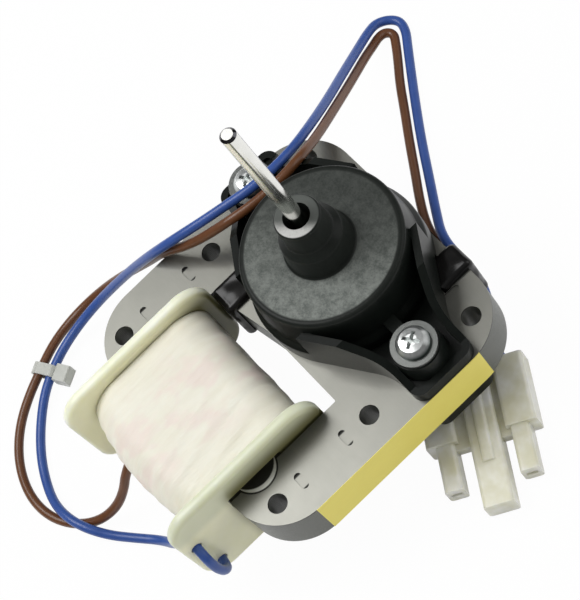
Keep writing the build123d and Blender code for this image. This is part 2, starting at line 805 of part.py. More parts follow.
def cable_tie():
    """Flat band round both leads with its locking head."""
    inner = RectangleRounded(tie_inner[0], tie_inner[1], tie_inner[1] / 2 - tie_corner_margin)
    outer = offset(inner, tie_band)
    band = extrude(outer - inner, tie_width / 2, both=True)
    head_x = tie_inner[0] / 2 + tie_head[0] / 2 + tie_head_gap
    head = Pos(head_x, tie_head_rise, 0) * Box(*tie_head)
    head = fillet(head.edges().filter_by(Axis.Z), tie_head_radius)
    return Pos(tie_place[0], tie_place[1], tie_height) * Rot(0, 0, tie_turn) * Rot(90, 0, 0) * (band + head)


def write(name, shape):
    """Write one node, with several solids where it is a group."""
    if isinstance(shape, list):
        shape = Compound(children=shape)
    export_step(shape, "parts/" + name + ".step")


os.makedirs("parts", exist_ok=True)

write("stator_stack", stator_stack())
write("core_bar", core_bar())
write("bobbin", bobbin())
write("coil_winding", coil_winding())
write("coil_tape", coil_tape())
write("front_shield", front_shield())
write("rear_shield", rear_shield())
write("front_bearing", at_front(bearing()))
write("rear_bearing", at_rear(bearing()))
write("front_oil_felt", at_front(oil_felt()))
write("rear_oil_felt", at_rear(oil_felt()))
write("front_bearing_retainer", at_front(bearing_retainer()))
write("rear_bearing_retainer", at_rear(bearing_retainer()))
write("rotor_core", rotor_core())
write("rotor_cage", rotor_cage())
write("shaft", shaft())
write("front_spacer", at_front(spacer(front_bush_face)))
write("rear_spacer", at_rear(spacer(rear_bush_face)))
write("front_thrust_washer", at_front(thrust_washer()))
write("rear_thrust_washer", at_rear(thrust_washer()))
write("upper_shading_ring", shading_ring(head_reach))
write("lower_shading_ring", Rot(0, 0, 180) * shading_ring(pole_reach_left))
write("shield_screws", shield_screws())
write("screw_washers", screw_washers())
write("edge_label", edge_label())
write("blue_lead", lead(blue_points, "blue_lead"))
write("brown_lead", lead(brown_points, "brown_lead"))
write("cable_tie", cable_tie())
write("connector_housing", connector_housing())
write("connector_terminals", connector_terminals())
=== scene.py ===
# %% [markdown]
# # A small fan motor, dressed for its photograph
#
# The motor arrives as a set of exact CAD pieces, in metres, with the shaft's axis on Z and
# the coil towards -Y. None of them is moved or changed. This script gives every piece its
# finish, lays the two leads as smooth cords, wraps the coil in creased tape, and sets the
# camera and the light.
#

# %% Load the motor
import math
import bpy
from mathutils import Matrix, Vector


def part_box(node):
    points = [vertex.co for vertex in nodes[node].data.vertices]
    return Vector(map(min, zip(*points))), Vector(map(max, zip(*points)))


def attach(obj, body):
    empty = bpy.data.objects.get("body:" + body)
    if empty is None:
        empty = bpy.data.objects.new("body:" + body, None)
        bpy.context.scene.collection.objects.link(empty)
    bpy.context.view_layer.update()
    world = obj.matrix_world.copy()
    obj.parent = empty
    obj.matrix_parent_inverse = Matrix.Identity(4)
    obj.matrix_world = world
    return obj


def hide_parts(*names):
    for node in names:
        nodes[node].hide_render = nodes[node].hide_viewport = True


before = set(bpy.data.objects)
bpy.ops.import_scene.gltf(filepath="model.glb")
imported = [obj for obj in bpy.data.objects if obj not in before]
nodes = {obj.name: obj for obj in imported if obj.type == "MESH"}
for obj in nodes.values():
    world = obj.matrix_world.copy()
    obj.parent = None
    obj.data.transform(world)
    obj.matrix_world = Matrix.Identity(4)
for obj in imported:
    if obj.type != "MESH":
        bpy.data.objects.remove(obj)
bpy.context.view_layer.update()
mm = 0.001

# %% [markdown]
# ## The camera
#
# The photograph looks down on the motor from the side of its label, and the shaft leans
# towards the lens. The place and the turn of the camera were worked out from the holes and
# round edges of the motor. Three directions say how it is turned: its right, its up, and
# the way back from the motor to the lens.

# %% Camera
camera_place = Vector((0.2282, -0.0174, 0.4160))
camera_right = (0.6028, 0.7189, -0.3459)
camera_up = (-0.6133, 0.6950, 0.3753)
camera_back = (0.5101, -0.0141, 0.8600)
lens_length = 143.0
sensor_side = 36.0

camera_data = bpy.data.cameras.new("camera")
camera_data.lens = lens_length
camera_data.sensor_fit = "AUTO"
camera_data.sensor_width = sensor_side
camera = bpy.data.objects.new("camera", camera_data)
turn = Matrix((camera_right, camera_up, camera_back)).transposed()
camera.matrix_world = Matrix.Translation(camera_place) @ turn.to_4x4()
bpy.context.collection.objects.link(camera)
bpy.context.scene.camera = camera
print("camera at", tuple(camera_place), "lens", lens_length)

# %% [markdown]
# ## Node maths as plain expressions
#
# A material is a small network of nodes. Wiring it by hand takes many lines, so three small
# classes help. `Value` wraps one output and understands + - * / and powers, so that a mask
# reads like arithmetic. `Network` adds any other node from its type, its settings and its
# inputs. `Finish` is the network of one material, with the patterns that a finish needs.

# %% Values
class Value:
    """One output of a node, which can be used in an expression."""

    def __init__(self, tree, socket):
        self.tree = tree
        self.socket = socket

    def maths(self, operation, first, second):
        """Add a Math node whose inputs are values of the tree or plain numbers."""
        step = self.tree.nodes.new("ShaderNodeMath")
        step.operation = operation
        for slot, value in zip(step.inputs, (first, second)):
            if isinstance(value, Value):
                self.tree.links.new(value.socket, slot)
            else:
                slot.default_value = value
        return Value(self.tree, step.outputs[0])

    def __add__(self, other):
        return self.maths("ADD", self, other)

    def __radd__(self, other):
        return self.maths("ADD", other, self)

    def __sub__(self, other):
        return self.maths("SUBTRACT", self, other)

    def __rsub__(self, other):
        return self.maths("SUBTRACT", other, self)

    def __mul__(self, other):
        return self.maths("MULTIPLY", self, other)

    def __rmul__(self, other):
        return self.maths("MULTIPLY", other, self)

    def __truediv__(self, other):
        return self.maths("DIVIDE", self, other)

    def __pow__(self, other):
        return self.maths("POWER", self, other)


print("operators:", [name for name in vars(Value) if name.startswith("__") and name != "__init__"])


# %% Network
class Network:
    """A tree of nodes, for a material, the room or a shape."""

    def __init__(self, tree):
        self.tree = tree
        tree.nodes.clear()

    def node(self, kind, settings=(), inputs=(), out=0):
        """Add a node, and give back one of its outputs if it has any."""
        made = self.tree.nodes.new(kind)
        for key, value in dict(settings).items():
            setattr(made, key, value)
        for key, value in dict(inputs).items():
            if isinstance(value, Value):
                self.tree.links.new(value.socket, made.inputs[key])
            else:
                made.inputs[key].default_value = value
        return Value(self.tree, made.outputs[out]) if made.outputs else None

    def ray(self, kind):
        """One where this kind of ray asks for the colour, and nothing elsewhere."""
        return self.node("ShaderNodeLightPath", out=kind)


# %% Finish
class Finish(Network):
    """One material, patterned by the place on the object in metres."""

    def __init__(self, name):
        self.material = bpy.data.materials.new(name)
        self.material.use_nodes = True
        super().__init__(self.material.node_tree)
        self.place = self.node("ShaderNodeTexCoord", out="Object")

    def size_of(self, value):
        return self.node("ShaderNodeMath", {"operation": "ABSOLUTE"}, {0: value})

    def axis(self, letter):
        return self.node("ShaderNodeSeparateXYZ", inputs={0: self.place}, out=letter)

    def facing(self, letter):
        normal = self.node("ShaderNodeNewGeometry", out="Normal")
        return self.node("ShaderNodeSeparateXYZ", inputs={0: normal}, out=letter)

    def noise(self, size, detail, stretch=(1.0, 1.0, 1.0), rough=0.55):
        scale = [1.0 / (size * share) for share in stretch]
        moved = self.node("ShaderNodeVectorMath", {"operation": "MULTIPLY"},
                          {0: self.place, 1: scale})
        return self.node("ShaderNodeTexNoise", inputs={
            "Vector": moved, "Scale": 1.0, "Detail": detail, "Roughness": rough})

    def fade(self, value, start, end):
        """Nothing at the start, all at the end, and a soft step between."""
        return self.node("ShaderNodeMapRange", {"interpolation_type": "SMOOTHSTEP"}, {
            "Value": value, "From Min": start, "From Max": end})

    def mix(self, share, first, second):
        colours = [c if isinstance(c, Value) else (*c, 1.0) for c in (first, second)]
        return self.node("ShaderNodeMix", {"data_type": "RGBA"}, {
            0: share, 6: colours[0], 7: colours[1]}, out=2)

    def bump(self, height, depth, strength):
        return self.node("ShaderNodeBump", inputs={
            "Height": height, "Distance": depth, "Strength": strength})

    def finish(self, **inputs):
        """Close the material, with underscores for the spaces in the names."""
        named = {key.replace("_", " "): value for key, value in inputs.items()}
        shader = self.node("ShaderNodeBsdfPrincipled", inputs=named)
        self.node("ShaderNodeOutputMaterial", inputs={0: shader})
        return self.material


def wear(material, *names):
    """Put a material on pieces that keep their CAD shape."""
    for name in names:
        slots = nodes[name].data.materials
        for index in range(len(slots)):
            slots[index] = material
        if not len(slots):
            slots.append(material)
    print(material.name, "on", ", ".join(names))


print("patterns:", [name for name in vars(Finish) if not name.startswith("__")])

# %% [markdown]
# ## The leads
#
# Each lead is a thin stranded wire in soft plastic, 2 mm across. It leaves the winding,
# goes along the table and over one leg of the stack, hangs in a bow behind the shaft, and
# runs back under the motor to its connector. A curve with a round bevel could be bent
# through sampled points, but that looks like bent wire. A NURBS spline only leans towards
# its points, so a lead gets the soft, even sweep of the real one.

# %% Lead insulation
def insulation(name, colour, dark):
    coat = Finish(name)
    mottle = coat.noise(2.6 * mm, 3.0)
    rub = coat.noise(0.5 * mm, 2.0)
    return coat.finish(
        Base_Color=coat.mix(mottle, dark, colour),
        Roughness=0.26 + rub * 0.16,
        Normal=coat.bump(rub, 0.04 * mm, 0.35),
        Specular_IOR_Level=0.45,
        Coat_Weight=0.1)


blue_insulation = insulation("blue_insulation", (0.040, 0.104, 0.38), (0.030, 0.076, 0.29))
brown_insulation = insulation("brown_insulation", (0.165, 0.062, 0.022), (0.110, 0.041, 0.014))
print("insulation:", blue_insulation.name, brown_insulation.name)

# %% The two leads
lead_width = 2.0 * mm
on_table = 1.05


def lead(name, node, points, length, finish):
    line = bpy.data.curves.new(name, "CURVE")
    line.dimensions = "3D"
    line.resolution_u = 6
    line.bevel_depth = lead_width / 2
    line.bevel_resolution = 4
    line.use_fill_caps = True
    spline = line.splines.new("NURBS")
    spline.points.add(len(points) - 1)
    for place, point in zip(points, spline.points):
        point.co = (*(mm * value for value in place), 1.0)
    spline.order_u = 3
    spline.use_endpoint_u = True
    line.materials.append(finish)
    piece = bpy.data.objects.new(name, line)
    bpy.context.collection.objects.link(piece)
    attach(piece, "frame")
    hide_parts(node)
    [mm * value for value in points[0]]
    print(name, "points", len(points), "length", length)


connector_axis_turn = math.radians(-30.0)
connector_entry = 17.7
connector_height = 3.25
entry_depth = 1.98


def at_connector(across, depth):
    along = connector_entry + depth
    turn_cos, turn_sin = math.cos(connector_axis_turn), math.sin(connector_axis_turn)
    return (along * turn_cos - across * turn_sin, along * turn_sin + across * turn_cos,
            connector_height)


blue_pole = 22.4
brown_pole = 8.4
blue_route = [
    (16.1, -54.5, 10.7), (20.4, -54.6, 10.8), (22.0, -55.3, 12.8), (22.3, -55.9, 15.6),
    (21.9, -56.0, 18.6), (20.5, -55.9, 21.0), (12.0, -55.9, 21.0), (9.8, -58.6, 12.6),
    (6.2, -60.0, 4.4), (1.3, -62.0, on_table), (-3.2, -65.7, on_table), (-7.3, -69.1, 1.6),
    (-11.4, -71.7, 3.2), (-16.2, -73.2, 3.4), (-21.4, -73.5, 2.1), (-26.4, -72.4, on_table),
    (-31.2, -70.2, on_table), (-35.6, -67.3, on_table), (-39.4, -63.8, 1.4),
    (-42.4, -60.2, 1.9), (-44.8, -56.3, 2.0), (-46.9, -51.5, 2.2), (-47.7, -45.4, 3.4),
    (-46.6, -39.1, 6.2), (-42.9, -33.6, 11.9), (-38.3, -29.0, 18.5), (-33.4, -25.1, 25.1),
    (-29.7, -21.2, 29.5), (-27.3, -16.9, 31.6), (-25.2, -12.1, 33.0), (-23.4, -7.0, 34.1),
    (-21.9, -2.2, 34.8), (-21.4, 3.2, 34.9), (-22.6, 9.2, 33.4), (-26.8, 15.2, 28.6),
    (-33.5, 22.2, 20.8), (-40.8, 29.5, 13.0), (-46.3, 35.6, 7.2), (-49.5, 39.8, 4.2),
    (-51.1, 42.7, 2.3), (-50.3, 45.3, 1.3), (-48.1, 46.8, on_table), (-45.3, 46.0, on_table),
    (-42.6, 44.1, on_table), (-38.4, 41.2, on_table), (-31.6, 36.6, on_table),
    (-23.6, 31.4, on_table), (-15.8, 26.8, 1.1), (-9.0, 22.9, 1.9), (-3.0, 19.7, 2.8),
    (3.6, 19.2, 3.1), (9.5, 18.9, 2.9), (14.6, 16.9, 2.6), (17.9, 13.8, 2.3), (20.3, 10.6, 2.4),
    at_connector(blue_pole, -1.0), at_connector(blue_pole, entry_depth)]
brown_route = [
    (-9.1, -54.3, 15.0), (-9.0, -57.8, 12.0), (-8.7, -60.3, 8.6), (-9.0, -63.8, 5.2),
    (-10.7, -67.9, 2.5), (-13.5, -71.6, 1.1), (-17.2, -74.6, on_table),
    (-21.8, -76.3, on_table), (-27.0, -76.5, on_table), (-32.3, -75.1, on_table),
    (-37.2, -72.4, on_table), (-41.4, -68.5, 1.2), (-44.4, -63.6, 1.8), (-47.1, -57.9, 2.0),
    (-49.8, -52.7, 1.5), (-51.3, -47.2, 1.1), (-51.0, -41.5, 2.1), (-48.6, -36.4, 5.2),
    (-45.2, -32.2, 9.1), (-40.9, -28.7, 14.0), (-36.0, -25.4, 19.8), (-31.2, -22.0, 25.8),
    (-26.7, -18.2, 28.8), (-23.2, -14.0, 31.6), (-20.0, -9.4, 34.9), (-18.7, -4.7, 35.4),
    (-18.2, -0.2, 35.4), (-18.1, 4.5, 35.7), (-18.9, 9.2, 35.3), (-23.6, 14.6, 29.0),
    (-31.2, 21.9, 20.2), (-39.2, 29.7, 11.2), (-44.7, 35.7, 5.6), (-47.0, 38.8, 3.1),
    (-48.4, 41.0, 1.9), (-48.5, 42.9, 1.3), (-46.9, 43.9, on_table), (-44.9, 42.7, on_table),
    (-41.4, 40.3, on_table), (-37.0, 37.0, on_table), (-31.4, 33.5, on_table),
    (-25.3, 29.5, on_table), (-18.8, 25.5, on_table), (-13.2, 21.9, on_table),
    (-7.8, 19.2, on_table), (-1.7, 18.1, on_table), (4.5, 17.8, on_table), (10.5, 15.6, 1.3),
    (15.2, 11.2, 2.2), (18.1, 5.6, 2.9), at_connector(brown_pole, -1.0),
    at_connector(brown_pole, entry_depth)]
lead("blue_insulated_lead", "blue_lead", blue_route, 0.335, blue_insulation)
lead("brown_insulated_lead", "brown_lead", brown_route, 0.305, brown_insulation)

# %% [markdown]
# ## Sheet steel
#
# The stack, the bar across the coil and the rotor's core are stamped from dull grey sheet,
# half a millimetre thick. Its flat faces carry a faint rolled grain, and its cut edges show
# the single sheets as fine lines. The direction in which a face points tells the two apart.
#
# Three details lie in known places, so they are coloured by place instead of by noise. The punched
# marks on the legs are painted near black at both ends, as painted shade where their floors slope
# down. A thin band along the edge, under the front sheet, is painted near black as painted shade
# of the edge. The bar is painted near black, as painted shadow of the flange, and its round
# tongues carry a painted highlight, a bright arc at the rim.

# %% Marks and tongues
stack_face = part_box("stator_stack")[1][2]
mark_places = [(side * 25.0 * mm, y * mm) for side in (-1, 1) for y in (-21.5, -32.9)]
mark_half_width = 1.2 * mm
mark_half_length = 2.4 * mm
mark_slope_start = 1.15 * mm
tongue_radius = 4.9 * mm
tongue_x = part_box("core_bar")[1][0] - tongue_radius
tongue_y = -38.0 * mm
crescent_rim = tongue_radius - 0.4 * mm
crescent_start = tongue_radius - 0.2 * mm
crescent_shift = 1.2 * mm


def painted_mark_shade(steel):
    """Painted shade at both ends of the punched marks, found below the stack's face."""
    below_face = steel.fade(steel.axis("Z"), stack_face - 0.06 * mm, stack_face - 0.2 * mm)
    east, north = steel.axis("X"), steel.axis("Y")
    ends = 0.0
    for x, y in mark_places:
        across = steel.size_of(north - y)
        along = steel.size_of(east - x)
        ends += (steel.fade(across, mark_half_width + 0.1 * mm, mark_half_width)
                 * steel.fade(along, mark_slope_start, mark_slope_start + 0.3 * mm)
                 * steel.fade(along, mark_half_length + 0.2 * mm, mark_half_length))
    return below_face * ends


def tongue_reach(steel, shift=0.0):
    """Distance from the middle of the nearer tongue, or from a point further in."""
    east = steel.size_of(steel.axis("X")) - (tongue_x - shift)
    north = steel.axis("Y") - tongue_y
    return (east * east + north * north) ** 0.5


def painted_highlight_crescent(steel):
    """Painted highlight: a bright rim on a tongue's outer side, between two circles of which one
    lies further in.
    """
    outside = steel.fade(tongue_reach(steel, crescent_shift),
                         crescent_start, crescent_start + 0.3 * mm)
    return outside * steel.fade(tongue_reach(steel), crescent_rim + 0.1 * mm, crescent_rim)


print("marks:", len(mark_places), "tongue at", round(tongue_x / mm, 2), round(tongue_y / mm, 2))


# %% Sheet steel
sheet_thickness = 0.5 * mm


def sheet_steel(name, bar=False):
    steel = Finish(name)
    flat = steel.fade(steel.size_of(steel.facing("Z")), 0.55, 0.85)
    grain = steel.noise(1.1 * mm, 3.0, (4.0, 0.35, 1.0))
    cloud = steel.noise(9.0 * mm, 3.0)
    face = steel.mix(cloud * 0.75 + grain * 0.25, (0.20, 0.20, 0.178), (0.29, 0.288, 0.258))
    if bar:
        # The bar's face is painted near black, as painted shadow of the flange, with a painted
        # highlight in a bright arc at each tongue's rim.
        face = steel.mix(painted_highlight_crescent(steel), (0.040, 0.040, 0.036), (0.90, 0.90, 0.87))
    else:
        # The ends of the punched marks are painted near black: painted shade where their floors
        # slope down.
        face = steel.mix(painted_mark_shade(steel), face, (0.012, 0.012, 0.010))
    height = steel.axis("Z")
    sheets = steel.node("ShaderNodeMath", {"operation": "PINGPONG"},
                        {0: height, 1: sheet_thickness / 2})
    line = steel.fade(sheets, 0.0, sheet_thickness * 0.22)
    smear = steel.noise(2.0 * mm, 3.0, (1.0, 1.0, 0.12))
    edge = steel.mix(line * (0.55 + smear * 0.6), (0.055, 0.060, 0.052), (0.145, 0.150, 0.132))
    # A thin band of the edge just under the front sheet is painted near black: painted shade of
    # the edge.
    painted_edge_shade = steel.fade(height, stack_face - 0.4 * mm, stack_face - 0.25 * mm)
    edge = steel.mix(painted_edge_shade * 0.85, edge, (0.012, 0.012, 0.010))
    relief = flat * grain * 0.35 + (1.0 - flat) * line
    return steel.finish(
        Base_Color=steel.mix(flat, edge, face),
        Metallic=0.15 + flat * 0.60,
        Roughness=0.29 + grain * 0.12,
        Normal=steel.bump(relief, 0.03 * mm, 0.5))


wear(sheet_steel("sheet_steel_stack"), "stator_stack", "rotor_core")
wear(sheet_steel("sheet_steel_bar", bar=True), "core_bar")

# %% [markdown]
# ## Black moulding
#
# Both bearing shields are black plastic with glass in it. The skirts and ears are satin, and
# everything below the front face is painted darker than the nose, as painted shade. The round
# front face is worn to a cloudy grey, partly dust and partly painted sheen, and the mouth of the
# nose is a grey ring of dust with a painted highlight on one side. These areas are rings around
# the shaft, so the distance from it and the height say which one a point is on. The front face is
# painted lighter towards the coil and the label and darker away from them, partly as painted
# shadow of the leads.

# %% Black moulding
disc_radius = 15.4 * mm
disc_floor = 36.0 * mm
nose_root = 7.4 * mm
mouth_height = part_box("front_shield")[1][2] - 0.3 * mm


def black_moulding():
    black = Finish("black_moulding")
    east, north, height = (black.axis(letter) for letter in "XYZ")
    reach = (east * east + north * north) ** 0.5
    upward = black.fade(black.facing("Z"), 0.80, 0.97)
    on_disc = (upward * black.fade(height, disc_floor - 0.4 * mm, disc_floor)
               * black.fade(reach, disc_radius, disc_radius - 0.5 * mm)
               * black.fade(reach, nose_root - 0.8 * mm, nose_root + 0.6 * mm))
    mouth = upward * black.fade(height, mouth_height, mouth_height + 0.15 * mm)
    cloud = black.noise(1.9 * mm, 5.0, rough=0.68)
    speck = black.noise(0.35 * mm, 3.0, rough=0.7)
    # Below the front face the moulding is painted darker than the nose: painted shade.
    painted_shade_low_parts = black.mix(cloud, (0.005, 0.0065, 0.0055), (0.011, 0.0135, 0.0115))
    nose = black.mix(cloud, (0.010, 0.012, 0.0105), (0.021, 0.024, 0.021))
    plain = black.mix(black.fade(height, disc_floor, disc_floor + 2.0 * mm), painted_shade_low_parts, nose)
    # The front face's grey is partly dust and partly painted sheen.
    dust_and_sheen = black.mix(black.fade(cloud * 0.6 + speck * 0.4, 0.34, 0.66),
                      (0.110, 0.122, 0.112), (0.240, 0.257, 0.237))
    # Lighter towards the coil and the label, darker away from them: partly painted shadow of the
    # leads.
    painted_shadow_gradient = black.fade(north * 0.8 - east * 0.6, 13.0 * mm, -12.0 * mm)
    dust_and_sheen = black.mix(painted_shadow_gradient * 0.8 + 0.2, plain, dust_and_sheen)
    # One side of the mouth ring is painted pale: a painted highlight on a ring of grey dust.
    painted_highlight_side = black.fade(north * 0.75 - east * 0.66, -0.6 * mm, -3.4 * mm)
    mouth_dust_and_highlight = black.mix(painted_highlight_side * (0.5 + speck), (0.10, 0.108, 0.10), (0.55, 0.55, 0.53))
    colour = black.mix(mouth, black.mix(on_disc, plain, dust_and_sheen), mouth_dust_and_highlight)
    return black.finish(
        Base_Color=colour,
        Roughness=0.27 + on_disc * 0.24 + speck * 0.12,
        Specular_IOR_Level=0.12,
        Normal=black.bump(speck * (0.4 + on_disc), 0.05 * mm, 0.30))


wear(black_moulding(), "front_shield", "rear_shield", "front_spacer", "rear_spacer")

# %% [markdown]
# ## Nylon
#
# The bobbin is cream nylon with a green tinge. Light goes a little way into it, which subsurface
# scattering does, so its edges glow. The bobbin carries painted shade: every face turned towards
# the label is painted olive, the flange on the label's side is painted darker and greener above
# the stack, and its outer face near black next to the leg, by place and by the direction in which
# the face points. The tie, the washers and the connector are clearer nylon, nearer to white.

# %% Nylon
flange_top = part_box("bobbin")[1][2]
leg_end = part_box("stator_stack")[0][1]


def painted_flange_shade(piece, colour):
    """Painted shade on the bobbin, deepest on the label's flange next to the stack."""
    east, north, height = (piece.axis(letter) for letter in "XYZ")
    outward = piece.fade(piece.facing("X"), 0.30, 0.85)
    label_side = piece.fade(east, 6.0 * mm, 16.0 * mm)
    above_stack = piece.fade(height, stack_face, stack_face + 3.0 * mm)
    beside_leg = piece.fade(north, leg_end - 2.0 * mm, leg_end + 1.5 * mm)
    low = piece.fade(height, flange_top - 0.8 * mm, stack_face + 2.5 * mm)
    # Each mix is painted shade: olive on faces turned towards +X, darker green above the stack on
    # the label's side, and near black next to the leg.
    colour = piece.mix(outward * 0.57, colour, (0.88, 0.84, 0.52))
    colour = piece.mix(label_side * above_stack * 0.475, colour, (0.56, 0.60, 0.44))
    return piece.mix(outward * beside_leg * low * 0.95, colour, (0.17, 0.16, 0.05))


def nylon(name, light, shade, depth, roughness, share, painted_shading=None):
    piece = Finish(name)
    cloud = piece.noise(6.0 * mm, 3.0)
    skin = piece.noise(0.8 * mm, 3.0)
    colour = piece.mix(piece.fade(cloud, 0.3, 0.7), shade, light)
    return piece.finish(
        Base_Color=painted_shading(piece, colour) if painted_shading else colour,
        Roughness=roughness + skin * 0.14,
        Subsurface_Weight=share,
        Subsurface_Radius=depth,
        Subsurface_Scale=1.0 * mm,
        Specular_IOR_Level=0.5,
        Normal=piece.bump(skin, 0.03 * mm, 0.35))


# The bobbin's nylon carries painted shade on faces turned towards the label.
bobbin_nylon = nylon("cream_nylon", (0.95, 0.97, 0.80), (0.89, 0.91, 0.69),
                     (1.5, 1.6, 0.9), 0.24, 0.3, painted_flange_shade)
clear_nylon = nylon("clear_nylon", (0.85, 0.85, 0.79), (0.70, 0.685, 0.54),
                    (3.0, 3.0, 2.4), 0.16, 0.7)
tie_nylon = nylon("tie_nylon", (0.56, 0.57, 0.53), (0.48, 0.49, 0.45),
                  (2.0, 2.0, 2.0), 0.25, 0.4)
wear(bobbin_nylon, "bobbin")
wear(clear_nylon, "connector_housing")
wear(tie_nylon, "cable_tie", "front_thrust_washer", "rear_thrust_washer")

# %% [markdown]
# ## Turned and plated steel
#
# The shaft is ground: its fine rings run around it, so the noise is squeezed along Z. Its end is
# cut off and less polished, and its chamfered edge is painted dark, as a painted dark reflection.
# The screws are zinc plated, bright with a bluish tinge, and the cross of the head is painted dark
# towards its floor, as painted shade. The washers are duller.

# %% Bright steel
def ground_steel():
    steel = Finish("ground_steel")
    rings = steel.noise(0.25 * mm, 2.0, (12.0, 12.0, 0.5))
    stain = steel.noise(3.0 * mm, 3.0)
    rise = steel.facing("Z")
    cut_end = steel.fade(rise, 0.90, 0.99)
    # The chamfer is painted dark: a painted dark reflection.
    painted_dark_bevel = steel.fade(rise, 0.40, 0.60) * (1.0 - cut_end)
    bright = steel.mix(stain, (0.80, 0.80, 0.76), (0.93, 0.925, 0.89))
    return steel.finish(
        Base_Color=steel.mix(painted_dark_bevel, bright, (0.12, 0.12, 0.13)),
        Metallic=1.0,
        Roughness=0.09 + rings * 0.05 + cut_end * 0.26,
        Normal=steel.bump(rings, 0.003 * mm, 0.2))


def zinc_plate(name, low, high, floor, top):
    zinc = Finish(name)
    spots = zinc.noise(0.5 * mm, 3.0)
    # Lower is painted darker: for the screws, painted shade in the cross of the head.
    depth = zinc.fade(zinc.axis("Z"), floor, top)
    return zinc.finish(
        Base_Color=zinc.mix(depth * (0.75 + spots * 0.35), low, high),
        Metallic=0.85,
        Roughness=0.22 + spots * 0.2,
        Normal=zinc.bump(spots, 0.02 * mm, 0.4))


screw_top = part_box("shield_screws")[1][2]
wear(ground_steel(), "shaft")
wear(zinc_plate("zinc_screws", (0.10, 0.13, 0.12), (0.74, 0.76, 0.75),
                screw_top - 1.5 * mm, screw_top - 0.7 * mm), "shield_screws")
wear(zinc_plate("zinc_washers", (0.08, 0.085, 0.08), (0.17, 0.177, 0.17), 0.0, screw_top),
     "screw_washers")
wear(zinc_plate("plain_sheet_steel", (0.30, 0.30, 0.29), (0.55, 0.55, 0.54), 0.0, screw_top),
     "front_bearing_retainer", "rear_bearing_retainer")

# %% [markdown]
# ## Shading rings, cage and other metal
#
# The shading rings are copper bands under glossy black varnish, which shows hard, bright
# highlights. The parts inside are sintered bronze, cast aluminium, enamelled copper, brass
# and felt.

# %% Other metal and felt
def coated_copper():
    ring = Finish("varnished_copper")
    runs = ring.noise(3.4 * mm, 0.0)
    return ring.finish(
        Base_Color=ring.mix(runs, (0.004, 0.004, 0.004), (0.012, 0.011, 0.010)),
        Roughness=0.16 + runs * 0.10,
        Specular_IOR_Level=0.35,
        Normal=ring.bump(runs, 0.8 * mm, 0.7))


def grained(name, dark, light, metal, rough, size, relief):
    piece = Finish(name)
    grain = piece.noise(size, 4.0)
    return piece.finish(
        Base_Color=piece.mix(grain, dark, light),
        Metallic=metal,
        Roughness=rough + grain * 0.15,
        Normal=piece.bump(grain, relief, 0.5))


def wound_copper():
    wire = Finish("enamelled_copper_turns")
    turns = wire.node("ShaderNodeMath", {"operation": "PINGPONG"},
                      {0: wire.axis("X"), 1: 0.12 * mm})
    # Darker between the turns: painted shade in the grooves, from the same mask that gives the
    # bump.
    turn_relief_and_shade = wire.fade(turns, 0.0, 0.12 * mm)
    return wire.finish(
        Base_Color=wire.mix(turn_relief_and_shade, (0.16, 0.05, 0.02), (0.62, 0.27, 0.12)),
        Metallic=0.8,
        Roughness=0.3,
        Normal=wire.bump(turn_relief_and_shade, 0.1 * mm, 0.8))


wear(coated_copper(), "upper_shading_ring", "lower_shading_ring")
wear(wound_copper(), "coil_winding")
wear(grained("sintered_bronze", (0.24, 0.15, 0.07), (0.46, 0.32, 0.17), 0.9, 0.35,
             0.3 * mm, 0.02 * mm), "front_bearing", "rear_bearing")
wear(grained("cast_aluminium", (0.45, 0.45, 0.46), (0.70, 0.70, 0.70), 0.9, 0.35,
             1.0 * mm, 0.03 * mm), "rotor_cage")
wear(grained("tinned_brass", (0.45, 0.40, 0.28), (0.68, 0.62, 0.45), 0.9, 0.25,
             0.6 * mm, 0.01 * mm), "connector_terminals")
wear(grained("oiled_felt", (0.30, 0.28, 0.22), (0.55, 0.52, 0.45), 0.0, 0.8,
             0.25 * mm, 0.15 * mm), "front_oil_felt", "rear_oil_felt")

# %% [markdown]
# ## The label
#
# A yellow strip lies on the right edge of the stack. It is plain stock with a faint fibre
# and soft stains.

# %% Label
def label_stock():
    stock = Finish("yellow_label_stock")
    fibre = stock.noise(0.6 * mm, 4.0, (1.0, 2.2, 1.0))
    stain = stock.noise(5.0 * mm, 3.0)
    return stock.finish(
        Base_Color=stock.mix(fibre * 0.5 + stain * 0.5, (0.94, 0.79, 0.15), (1.0, 0.89, 0.20)),
        Roughness=0.42 + fibre * 0.16,
        Normal=stock.bump(fibre, 0.02 * mm, 0.3))


wear(label_stock(), "edge_label")

# %% [markdown]
# ## The taped coil
#
# Several turns of thin, pale tape hide the winding. Tape pulled over round wire never lies
# quite flat: soft creases run the way it was wound, and the copper below shows through as a
# pink warmth. A bump in the shader would leave the outline straight, so these creases are
# real. Rings of points follow the crowned shape of the coil, whose ends and middle come from
# the box of the CAD piece. A Geometry Nodes tree then moves each point along its normal by a
# stretched noise, and the skin gets its thickness inwards, clear of the wire.

# %% Rings around the coil
crown = 1.1 * mm
foot_sag = 2.1 * mm
corner_radius = 7.0 * mm
ring_count = 76
corner_steps = 24
side_steps = (38, 22, 38, 22)


def coil_ring(low_y, high_y, low_z, high_z):
    """Points around one section, a rectangle with round corners."""
    inset = corner_radius
    corners = ((high_y - inset, high_z - inset), (low_y + inset, high_z - inset),
               (low_y + inset, low_z + inset), (high_y - inset, low_z + inset))
    arcs = []
    for quarter, (y, z) in enumerate(corners):
        angles = [math.pi / 2 * (quarter + step / corner_steps)
                  for step in range(corner_steps + 1)]
        arcs.append([Vector((y + inset * math.cos(a), z + inset * math.sin(a))) for a in angles])
    points = []
    for arc, following, steps in zip(arcs, arcs[1:] + arcs[:1], side_steps):
        points += arc
        points += [arc[-1].lerp(following[0], step / steps) for step in range(1, steps)]
    return points


